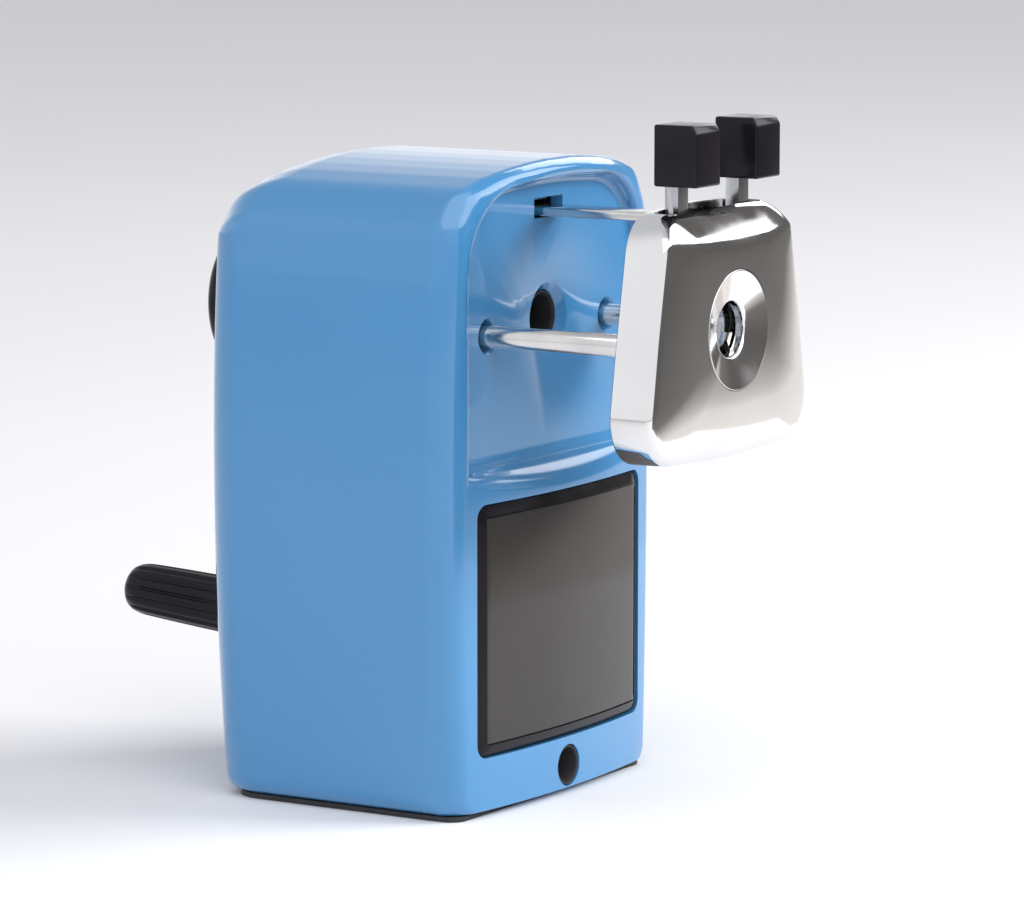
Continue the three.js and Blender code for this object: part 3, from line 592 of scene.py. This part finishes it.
def build_shell_inside():
    shelf = soften(box("body_shelf", -33.6, 33.6, -22.6, 23.3, 9.9, 10.9), 0.2, 2)
    piece(shelf, "housing", [], BLUE)
    for side, name in ((-1, "left"), (1, "right")):
        low, high = sorted((side * 28.6, side * 34.0))
        rib = soften(box(f"body_rib_{name}", low, high, -20, 20, 51, 53.3), 0.4)
        piece(rib, "housing", [], BLUE)
    for i, (x, y) in enumerate(BASE_SCREWS):
        boss = prism(f"body_boss_{i + 1}", circle(x, y, 3.4, 32), 3.4, 9.9, "Z")
        cut(boss, prism("bore", circle(x, y, 1.45, 24), 0, 9.3, "Z"))
        piece(boss, "housing", [], BLUE)
    for i, (x, z) in enumerate(COVER_SCREWS):
        boss = rod(f"cover_boss_{i + 1}", 3.2, 18, 23.6, x, z, 32)
        cut(boss, rod("bore", 1.45, 15, 30, x, z, 24))
        piece(boss, "housing", [], BLUE)


def build_base_pad():
    half = body_half(BODY_BOTTOM) - 1.7
    corners = [(-half, -26.6, 3.2), (half, -26.6, 3.2), (half, 23.4, 6.4), (-half, 23.4, 6.4)]
    pad = prism("base_foot", rounded(corners, 8), 0.0, 1.0, "Z")
    tools = []
    for x, y in BASE_SCREWS:
        tools.append(prism("hole", circle(x, y, 3.1, 32), -1, 2, "Z"))
    cut(pad, *tools)
    soften(pad, 0.2, 2)
    piece(pad, "housing", ["base_pad"], RUBBER)


def build_pencil_guide():
    profile = [(-11, 4.15), (-11, 4.75), (-23.9, 4.75), (-24.1, 4.7), (-24.1, 4.5)]
    profile += [(-23.6, 4.2), (-23.3, 4.15)]
    guide = lathe("guide_tube", profile, 0, AXIS_Z, 96)
    # The tube is black matte so that the pencil hole reads dark: painted shade standing in for the shadow
    # inside the hole.
    piece(guide, "housing", ["pencil_guide"], BLACK_MATTE, 50.0)


def build_clamp_socket():
    profile = [(-29.4, 3.85), (-29.7, 3.7), (-29.7, 3.3), (-29.4, CLAMP_RADIUS), (-10.7, CLAMP_RADIUS)]
    profile += [(-10.7, 0.001), (-9.5, 0.001), (-9.5, 3.85)]
    socket = lathe("clamp_liner", profile, 0, CLAMP_Z, 64)
    # The liner is black matte so that the clamp hole reads dark: painted shade standing in for the shadow
    # inside the hole.
    piece(socket, "housing", ["clamp_socket"], BLACK_MATTE, 50.0)


# ---------- drawer ----------
def bowed_slab(name, half, low, high, proud, back, radius, edge):
    """A plate with the body's bow; edge = (width, depth) is how its front falls back round the outline."""
    outline = rectangle(half, low, high, radius)
    outline = resample(outline + outline[:1], 320)[:-1]
    centre_z, rise = (low + high) / 2, (high - low) / 2

    def ring(inset, extra):
        points = []
        for x, z in outline:
            px, pz = x * (1 - inset / half), centre_z + (z - centre_z) * (1 - inset / rise)
            points.append((px, bowed_front(px, proud) + extra, pz))
        return points

    width, depth = edge
    rings = [[(x, back, z) for x, z in outline]]
    rings += [ring(0.0, depth + 0.25), ring(0.07, depth + 0.07), ring(0.25, depth)]
    rings += [ring(width - 0.2, 0.04), ring(width - 0.05, 0.0)]
    rings += [ring(width + (half - width) * share, 0.0) for share in (0.03, 0.2, 0.4, 0.6, 0.8, 0.95)]
    return loft(name, rings)


def build_drawer():
    border = 2.1
    size = (DRAWER_HALF, DRAWER_BOTTOM, DRAWER_TOP)
    front = bowed_slab("drawer_frame", *size, 0.3, -26.4, 2.0, (border, 0.75))
    inner, low, high = DRAWER_HALF - border, DRAWER_BOTTOM + border, DRAWER_TOP - border
    cut(front, prism("pocket", rectangle(inner, low, high, 0.6, 6), -33.0, -27.0, "Y"))
    piece(front, "drawer", ["drawer_front"], BLACK, 25.0)
    half = inner - 0.12
    low, high = low + 0.12, high - 0.12
    columns = [-half + half * k / 24 for k in range(49)]
    face = [(x, bowed_front(x, 0.22)) for x in columns]
    window = prism("drawer_panel", face + [(half, -27.1), (-half, -27.1)], low, high, "Z")
    soften(window, 0.18, 3, 45.0)
    piece(window, "drawer", ["drawer_window"], SMOKED, 40.0)
    tray = box("drawer_box", -25.8, 25.8, -26.2, 16, 11.3, 50)
    cut(tray, box("inside", -24.2, 24.2, -24.6, 14.4, 12.9, 55))
    soften(tray, 0.5, 3)
    piece(tray, "drawer", ["drawer_tray"], BLACK_MATTE)


# ---------- head ----------
def head_outline(inset):
    corners = [
        (-30.0 + inset, 66.4 + inset, 8.5 - inset),
        (0, 65.0 + inset, 150),
        (30.0 - inset, 66.4 + inset, 8.5 - inset),
        (26.5 - inset, 88, 120),
        (22.3 - inset, 110.0 - inset, 8 - inset),
        (0, 111.7 - inset, 150),
        (-22.3 + inset, 110.0 - inset, 8 - inset),
        (-26.5 + inset, 88, 120),
    ]
    points = rounded(corners, 14)
    return resample(points + points[:1], 320)[:-1]


def smooth_step(value, low, high):
    share = min(max((value - low) / (high - low), 0.0), 1.0)
    return share * share * (3 - 2 * share)


def head_front(x, z, share):
    """Depth of the head's pillowed face; share runs from 0 at the axis to 1 at the outline.

    Above FOLD_Z the face folds back into a facet under the levers.
    """
    pillow = 0.55 * share**2 + 1.25 * (max(share - 0.5, 0.0) / 0.5) ** 2.4
    band = max(z - FOLD_Z - FOLD_ARCH * (x / 20.0) ** 2, 0.0)
    fold = band * band / (band + 0.25)
    return HEAD_FRONT_Y + 0.08 + pillow + FOLD_SLOPE * fold


def toward_axis(points, inset):
    """(x, z, share) of an outline's points, each moved inset mm towards the head's axis."""
    moved = []
    for x, z in points:
        share = 1 - inset / math.hypot(x, z - AXIS_Z)
        moved.append((x * share, AXIS_Z + (z - AXIS_Z) * share, share))
    return moved


def build_head_shell():
    outline = head_outline(0.0)
    shares = [0.05, 0.2, 0.35, 0.46, 0.54, 0.6, 0.66, 0.71, 0.76, 0.8, 0.84, 0.87, 0.9, 0.925]
    rings = []
    for share in shares:
        ring = []
        for x, z in outline:
            px, pz = x * share, AXIS_Z + (z - AXIS_Z) * share
            ring.append((px, head_front(px, pz, share), pz))
        rings.append(ring)
    for k in range(1, 11):
        angle = math.pi / 2 * k / 10
        setback = HEAD_EDGE * (1 - math.cos(angle))
        ring = toward_axis(outline, HEAD_EDGE * (1 - math.sin(angle)))
        rings.append([(x, head_front(x, z, share) + setback, z) for x, z, share in ring])
    for k in range(5):
        angle = math.pi / 2 * k / 4
        y = HEAD_BACK_Y - HEAD_BACK_EDGE * (1 - math.sin(angle))
        ring = toward_axis(outline, HEAD_BACK_EDGE * (1 - math.cos(angle)))
        rings.append([(x, y, z) for x, z, _ in ring])
    shell = loft("head_case", rings)
    hollow = prism("hollow", head_outline(HEAD_WALL), -61.7, -50, "Y")
    bore = rod("bore", ENTRY_RADIUS + 0.12, -70, -60, 0, AXIS_Z, 96)
    cut(shell, hollow, bore, prism("slot", rectangle(17, -60.7, -57.0, 1.2), 105, 116, "Z"))
    piece(shell, "head", ["head_shell"], CHROME, 40.0)
    for side, name in ((-1, "left"), (1, "right")):
        boss = rod(f"head_boss_{name}", 3.0, -61.7, HEAD_BACK_Y - HEAD_PLATE - 0.2, side * 17, 73.5, 40)
        cut(boss, rod("bore", 1.25, -60.6, -50, side * 17, 73.5, 24))
        piece(boss, "head", [], STEEL)


def build_entry_ring():
    profile = [(-61.9, 5.0), (-63.2, 5.0), (-63.5, 5.05), (-63.72, 5.2), (-63.86, 5.45), (-63.95, 5.75)]
    profile += [(-65.25, 10.3), (-65.38, 10.62), (-65.42, 10.75), (-65.39, 10.84)]
    profile += [(-65.3, ENTRY_RADIUS), (-61.9, ENTRY_RADIUS)]
    ring = lathe("entry_dish", profile, 0, AXIS_Z, 128)
    piece(ring, "head", ["entry_ring"], CHROME, 60.0)


def build_rods():
    for side, name in ((-1, "left"), (1, "right")):
        profile = [(-59, 1.6), (-58.6, 2.0), (-12.6, 2.0), (-12.55, 1.62), (-11.45, 1.62), (-11.4, 2.0)]
        profile += [(-10.9, 2.0), (-10.5, 1.6)]
        bar = lathe(f"head_rod_{name}", profile, side * ROD_X, ROD_Z, 64, False)
        piece(bar, "head", [f"guide_rod_{name}"], STEEL_Y, 50.0)
    front = HEAD_BACK_Y - HEAD_PLATE
    outline = rounded([(-3.5, front, 0), (3.5, front, 0), (3.5, -19, 2.2), (-3.5, -19, 2.2)])
    bar = prism("latch_blade", outline, LATCH_Z - 0.8, LATCH_Z + 0.8, "Z")
    soften(bar, 0.3, 3)
    piece(bar, "head", ["latch_bar"], STEEL_Y)


def build_levers():
    for side, name, ring_front, ring_back in ((-1, "left", -59.4, -58.3), (1, "right", -58.1, -57.0)):
        body = f"lever_{name}"
        web = [(-11.4, 90), (-5, 98), (-9, 105), (-9, 107), (-13, 107), (-13, 102)]
        arm = [(-9.2, 105), (-9.2, 122.4), (-12.8, 122.4), (-12.8, 105)]
        if side > 0:
            web = [(-x, z) for x, z in reversed(web)]
            arm = [(-x, z) for x, z in reversed(arm)]
        disc = rod(f"{body}_arm", 11.5, ring_front, ring_back, 0, AXIS_Z, 96)
        tools = (prism("web", web, ring_front, ring_back, "Y"), prism("arm", arm, -60, -57.3, "Y"))
        combine(disc, "UNION", *tools)
        cut(disc, rod("bore", 6.5, -70, -50, 0, AXIS_Z, 96))
        soften(disc, 0.3, 3)
        piece(disc, body, [f"lever_{name}_plate"], STEEL_PLATE)

        x = side * LEVER_X
        cap_side = [(-65.2, 115), (-56.4, 115), (-56.4, 126), (-64.3, 126), (-65.2, 124.6)]
        cap = prism(f"{body}_cap_moulded", cap_side, x - 4.4, x + 4.4, "X")
        soften(cap, 0.45, 4)
        cut(cap, box("socket", x - 1.95, x + 1.95, -60.15, -57.15, 110, 122.5))
        piece(cap, body, [f"lever_{name}_cap"], BLACK)


def build_jaws():
    for i, body in enumerate(("jaw_a", "jaw_b", "jaw_c")):
        teeth = [(3.4 + 0.35 * (k % 2), -0.8 + 0.2 * k) for k in range(9)]
        outline = [(5.0, -1.7), (10.6, -1.7), (10.6, 1.7), (5.0, 1.7)] + teeth[::-1]
        jaw = prism(f"grip_{i + 1}", outline, -61.5, -59.7, "Y")
        turn = Matrix.Rotation(-math.radians(90 + 120 * i), 4, "Y")
        jaw.data.transform(Matrix.Translation((0, 0, AXIS_Z * MM)) @ turn)
        soften(jaw, 0.1, 2)
        piece(jaw, body, [f"jaw_{i + 1}"], CHROME)


# ---------- crank ----------
def along_knob(obj):
    place = Matrix.Translation((0, KNOB_FRONT * MM, (AXIS_Z - CRANK_LENGTH) * MM))
    obj.data.transform(place @ Matrix.Rotation(KNOB_TILT, 4, "X"))
    return obj


def build_knob():
    length, radius, flutes, segments = KNOB_LENGTH, 5.4, 14, 224
    rows = [(0.0, 0.78), (0.25, 0.88), (0.7, 0.95), (1.3, 1.0), (3.0, 1.0), (8.0, 0.985), (14.0, 0.965)]
    rows += [(19.0, 0.94), (21.5, 0.925), (23.0, 0.9), (24.2, 0.85)]
    rows += [(25.1, 0.76), (25.7, 0.63), (26.05, 0.45), (length, 0.2)]
    rings = []
    for y, share in rows:
        fade = smooth_step(y, 0.5, 2.6) * (1 - smooth_step(y, 22.0, 24.6))
        ring = []
        for i in range(segments):
            angle = 2 * math.pi * i / segments
            wave = (0.5 - 0.5 * math.cos(flutes * angle)) ** 3
            reach = radius * share - 0.55 * fade * wave
            ring.append((reach * math.cos(angle), y, reach * math.sin(angle)))
        rings.append(ring)
    knob = loft("knob_grip", rings)
    bore = lathe("bore", [(-1, 1.85), (18.9, 1.85), (18.9, 2.85), (20.9, 2.85)], 0, 0, 32, False)
    cut(knob, bore)
    along_knob(knob)
    piece(knob, "knob", ["crank_knob"], BLACK, 50.0)


def build_crank_arm():
    profile = [(28.3, 13.8), (28.6, 14.6), (29.2, 15), (38.6, 15)]
    profile += [(39.5, 14.8), (40.2, 14.2), (40.6, 13.2)]
    hub = lathe("crank_handle", profile, 0, AXIS_Z, 96, False)
    low = AXIS_Z - CRANK_LENGTH
    side = [(33, AXIS_Z), (37, low - 6.4), (41.6, low - 6.4), (41.6, low + 4), (38.4, AXIS_Z)]
    plan = [(-8.4, AXIS_Z, 0), (-6.0, low - 6.2, 5.8), (6.0, low - 6.2, 5.8), (8.4, AXIS_Z, 0)]
    arm = prism("arm", side, -20, 20, "X")
    combine(arm, "INTERSECT", prism("plan", rounded(plan, 14), 0, 60, "Y"))
    soften(arm, 0.7, 4, 40.0)
    combine(hub, "UNION", arm)
    shaft = lathe("shaft", [(0, 4.05), (36.5, 4.05), (36.5, 1.7), (60, 1.7)], 0, AXIS_Z, 48, False)
    pin = along_knob(rod("pin", 1.62, -10, 10, 0, 0, 32))
    cut(hub, shaft, rod("sink", 3.6, 39.2, 50, 0, AXIS_Z, 64), pin)
    piece(hub, "crank", ["crank_arm"], BLACK, 40.0)


# ---------- the frame's own nodes that stay ----------
# Width of the soft edge put on each, mm.
KEPT_EDGES = {
    "rear_cover": 0.35,
    "base_plate": 0.3,
    "mechanism_frame": 0.3,
    "rear_bush": 0.2,
    "head_back_plate": 0.25,
    "cutter_carrier": 0.3,
    "crank_screw": 0.15,
    "thrust_washer": 0.08,
    "pinion_gear": 0.06,
    "ring_gear": 0.06,
}


def dress_kept_nodes(shown):
    slots = {row["node"]: row["material_slot"] for row in frame["record"]["subparts"]}
    for name, obj in NODES.items():
        if name in shown:
            continue
        smooth(obj, 32.0)
        add_soft_edges(obj, KEPT_EDGES.get(name, 0.12), 2, 32.0)
        obj.data.materials.clear()
        obj.data.materials.append(SLOT_MATERIALS[slots[name]])


# ---------- stage, light and camera ----------
def build_floor():
    shader = Shader("floor_paper", (0.86, 0.855, 0.87), roughness=0.7, Specular_IOR_Level=0.0)
    shader.vary_colour(shader.noise(400.0, 2.0), (0.88, 0.875, 0.885))
    shader.bump(shader.noise(1.5, 2.0), 0.01, 0.2)
    size = 9000.0
    corners = [(-size, -size, 0), (size, -size, 0), (size, size, 0), (-size, size, 0)]
    floor = new_object("floor", corners, [(0, 1, 2, 3)])
    floor.data.materials.append(shader.material)


def build_world():
    """A pale room: brighter near the horizon, darker in front and at the front right."""
    world = bpy.data.worlds.new("studio")
    SCENE.world = world
    world.use_nodes = True
    tree = world.node_tree
    background = tree.nodes["Background"]
    coords = tree.nodes.new("ShaderNodeTexCoord")

    def lobe(direction, start, end):
        """1 along a direction, 0 well away from it; start and end are cosines."""
        dot = tree.nodes.new("ShaderNodeVectorMath")
        dot.operation = "DOT_PRODUCT"
        dot.inputs[1].default_value = Vector(direction).normalized()
        tree.links.new(coords.outputs["Generated"], dot.inputs[0])
        ranged = tree.nodes.new("ShaderNodeMapRange")
        ranged.interpolation_type = "SMOOTHSTEP"
        ranged.inputs["From Min"].default_value = start
        ranged.inputs["From Max"].default_value = end
        tree.links.new(dot.outputs["Value"], ranged.inputs["Value"])
        return ranged.outputs["Result"]

    def mix(factor, first, second):
        node = tree.nodes.new("ShaderNodeMix")
        node.data_type = "RGBA"
        tree.links.new(factor, node.inputs["Factor"])
        for value, socket in ((first, node.inputs["A"]), (second, node.inputs["B"])):
            if isinstance(value, tuple):
                socket.default_value = value
            else:
                tree.links.new(value, socket)
        return node.outputs["Result"]

    sky = mix(lobe((0, 0, 1), 0.14, 0.5), (1.05, 1.045, 1.07, 1), (0.62, 0.63, 0.66, 1))
    room = mix(lobe((0.85, -0.4, 0.45), 0.6, 0.88), sky, (0.16, 0.15, 0.145, 1))
    aisle = mix(lobe((0.0, -1.0, 0.0), 0.78, 0.95), room, (0.09, 0.085, 0.08, 1))
    left = mix(lobe((-1.0, -0.2, 0.15), 0.1, 0.7), aisle, (0.95, 0.96, 0.99, 1))
    tree.links.new(left, background.inputs["Color"])
    background.inputs["Strength"].default_value = 1.0


def set_stops(ramp, stops):
    """Fills a colour ramp with (position, grey) stops in a slightly warm grey."""
    while len(ramp.color_ramp.elements) < len(stops):
        ramp.color_ramp.elements.new(0.5)
    for element, (position, grey) in zip(ramp.color_ramp.elements, stops):
        element.position = position
        element.color = (grey, grey * 0.96, grey * 0.93, 1.0)


def build_flag():
    """A grey screen with two lit panes at the front right, which only reflections show."""
    radius, low, high, steps = 300.0, 0.5, 420.0, 48
    verts, faces = [], []
    for k in range(steps + 1):
        angle = math.radians(-112 + 124 * k / steps)
        for z in (low, high):
            verts.append((radius * math.cos(angle), radius * math.sin(angle), z))
        if k:
            faces.append((2 * k - 2, 2 * k, 2 * k + 1, 2 * k - 1))
    flag = new_object("flag", verts, faces)
    shader = Shader("flag_paper", (0.0, 0.0, 0.0), roughness=1.0, Specular_IOR_Level=0.0)
    split = shader.node("ShaderNodeSeparateXYZ")
    shader.link(shader.coords.outputs["Object"], split.inputs["Vector"])
    slope = shader.node("ShaderNodeMath", operation="MULTIPLY_ADD")
    slope.inputs[1].default_value = -0.4
    shader.link(split.outputs["Y"], slope.inputs[0])
    shader.link(split.outputs["Z"], slope.inputs[2])
    ramp = shader.node("ShaderNodeValToRGB")
    shader.link(shader.ranged(slope.outputs["Value"], 0.0, 1.0, 0.066, 0.486), ramp.inputs["Fac"])
    set_stops(ramp, [(0.0, 1.0), (0.085, 0.9), (0.15, 0.21), (0.3, 0.13), (1.0, 0.13)])
    panes = shader.node("ShaderNodeValToRGB")
    shader.link(shader.ranged(split.outputs["Y"], 0.0, 1.0, -0.3, 0.0), panes.inputs["Fac"])
    set_stops(panes, [(0.0, 1.0), (0.485, 1.0), (0.52, 0.0), (0.65, 0.0), (0.7, 1.0), (1.0, 1.0)])
    patch = shader.node("ShaderNodeMath", operation="MULTIPLY")
    shader.link(panes.outputs["Color"], patch.inputs[0])
    shader.link(shader.ranged(split.outputs["Z"], 0.0, 1.0, 0.19, 0.2), patch.inputs[1])
    lit = shader.node("ShaderNodeMix", data_type="RGBA")
    shader.link(patch.outputs["Value"], lit.inputs["Factor"])
    shader.link(ramp.outputs["Color"], lit.inputs["A"])
    lit.inputs["B"].default_value = (3.4, 3.35, 3.4, 1.0)
    shader.link(lit.outputs["Result"], shader.main.inputs["Emission Color"])
    shader.main.inputs["Emission Strength"].default_value = 1.0
    flag.data.materials.append(shader.material)
    flag.visible_camera = False
    flag.visible_diffuse = False
    flag.visible_shadow = False


def area_light(name, direction, distance, size, size_y, power, colour=(1, 1, 1)):
    light = bpy.data.lights.new(name, "AREA")
    light.shape = "RECTANGLE"
    light.size = size
    light.size_y = size_y
    light.energy = power
    light.color = colour
    obj = bpy.data.objects.new(name, light)
    target = Vector((0, -0.01, 0.07))
    toward = Vector(direction).normalized()
    obj.location = target + toward * distance
    obj.rotation_mode = "QUATERNION"
    obj.rotation_quaternion = toward.to_track_quat("Z", "Y")
    SCENE.collection.objects.link(obj)


def build_lights():
    area_light("key_front", (0.7, -1.0, 0.6), 1.5, 0.9, 0.6, 23.0)
    area_light("top_fill", (-0.6, -0.7, 1.0), 1.5, 1.4, 1.4, 7.0)


CAMERA_AZIMUTH, CAMERA_ELEVATION, CAMERA_DISTANCE = -58.5, 8.0, 1.0
CAMERA_LENS = 189.0
CAMERA_TARGET = (0.0151, 1.1)


def build_camera():
    camera = bpy.data.cameras.new("camera")
    camera.sensor_width = 36.0
    camera.lens = CAMERA_LENS
    obj = bpy.data.objects.new("camera", camera)
    SCENE.collection.objects.link(obj)
    a, e = math.radians(CAMERA_AZIMUTH), math.radians(CAMERA_ELEVATION)
    back = Vector((math.sin(a) * math.cos(e), -math.cos(a) * math.cos(e), math.sin(e)))
    right = Vector((math.cos(a), math.sin(a), 0))
    up = back.cross(right)
    target = Vector((0, 0, 0.06)) + right * CAMERA_TARGET[0] + up * CAMERA_TARGET[1] * MM
    obj.location = target + back * CAMERA_DISTANCE
    obj.rotation_mode = "QUATERNION"
    obj.rotation_quaternion = back.to_track_quat("Z", "Y")
    camera.clip_start = 0.05
    camera.clip_end = 40.0
    SCENE.camera = obj
    SCENE.view_settings.view_transform = "Standard"


# ---------- assembly ----------
build_shell()
build_shell_inside()
build_base_pad()
build_pencil_guide()
build_clamp_socket()
build_drawer()
build_head_shell()
build_entry_ring()
build_rods()
build_levers()
build_jaws()
build_knob()
build_crank_arm()
REPLACED = {
    "housing_shell", "base_pad", "pencil_guide", "clamp_socket", "drawer_front", "drawer_window",
    "drawer_tray", "head_shell", "entry_ring", "guide_rod_left", "guide_rod_right", "latch_bar",
    "lever_left_plate", "lever_right_plate", "lever_left_cap", "lever_right_cap", "jaw_1", "jaw_2",
    "jaw_3", "crank_knob", "crank_arm",
}
dress_kept_nodes(REPLACED)
build_floor()
build_world()
build_flag()
build_lights()
build_camera()
